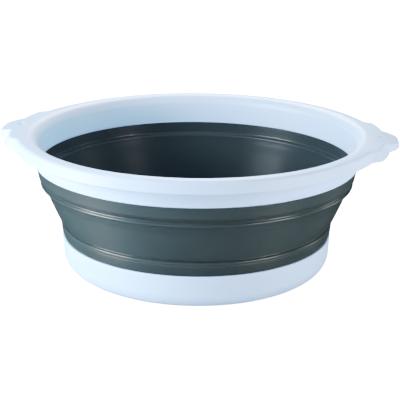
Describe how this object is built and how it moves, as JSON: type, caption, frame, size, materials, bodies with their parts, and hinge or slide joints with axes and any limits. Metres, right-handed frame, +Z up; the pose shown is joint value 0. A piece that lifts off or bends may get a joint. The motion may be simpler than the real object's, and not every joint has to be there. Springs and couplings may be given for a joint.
{
  "type": "collapsible washbasin",
  "caption": "Round collapsible camp washbasin: rigid rim with two lobed handles, a folding soft wall and a rigid base cup; the rim presses down so that the wall folds and the basin lies flat.",
  "frame": {"origin": "centre of the basin, on the plane that its foot ring stands on", "axes": "+Z up along the basin's axis; X runs through both handles and their hang holes"},
  "size_m": [0.3732, 0.3352, 0.1283],
  "materials": {
    "polypropylene": "satin",
    "elastomer": "matte"
  },
  "bodies": {
    "base": {"base_cup": "polypropylene", "wall_lower_band": "elastomer"},
    "rim": {"rim_frame": "polypropylene", "wall_upper_band": "elastomer"},
    "hoop_1": {"wall_fold_hoop_1": "elastomer"},
    "hoop_2": {"wall_fold_hoop_2": "elastomer"},
    "hoop_3": {"wall_fold_hoop_3": "elastomer"},
    "hoop_4": {"wall_fold_hoop_4": "elastomer"},
    "hoop_5": {"wall_fold_hoop_5": "elastomer"}
  },
  "joints": [
    {"name": "rim_slide", "type": "slide", "parent": "base", "child": "rim", "axis": [0, 0, -1], "range_m": [0, 0.078]},
    {"name": "hoop_1_slide", "type": "slide", "parent": "base", "child": "hoop_1", "axis": [0, 0, -1], "range_m": [0, 0.0053]},
    {"name": "hoop_2_slide", "type": "slide", "parent": "base", "child": "hoop_2", "axis": [0, 0, -1], "range_m": [0, 0.0218]},
    {"name": "hoop_3_slide", "type": "slide", "parent": "base", "child": "hoop_3", "axis": [0, 0, -1], "range_m": [0, 0.0434]},
    {"name": "hoop_4_slide", "type": "slide", "parent": "base", "child": "hoop_4", "axis": [0, 0, -1], "range_m": [0, 0.0629]},
    {"name": "hoop_5_slide", "type": "slide", "parent": "base", "child": "hoop_5", "axis": [0, 0, -1], "range_m": [0, 0.0725]}
  ],
  "couplings": [
    {"joint": "hoop_1_slide", "follows": "rim_slide", "ratio": 0.0675},
    {"joint": "hoop_2_slide", "follows": "rim_slide", "ratio": 0.279},
    {"joint": "hoop_3_slide", "follows": "rim_slide", "ratio": 0.5558},
    {"joint": "hoop_4_slide", "follows": "rim_slide", "ratio": 0.8059},
    {"joint": "hoop_5_slide", "follows": "rim_slide", "ratio": 0.9292}
  ]
}
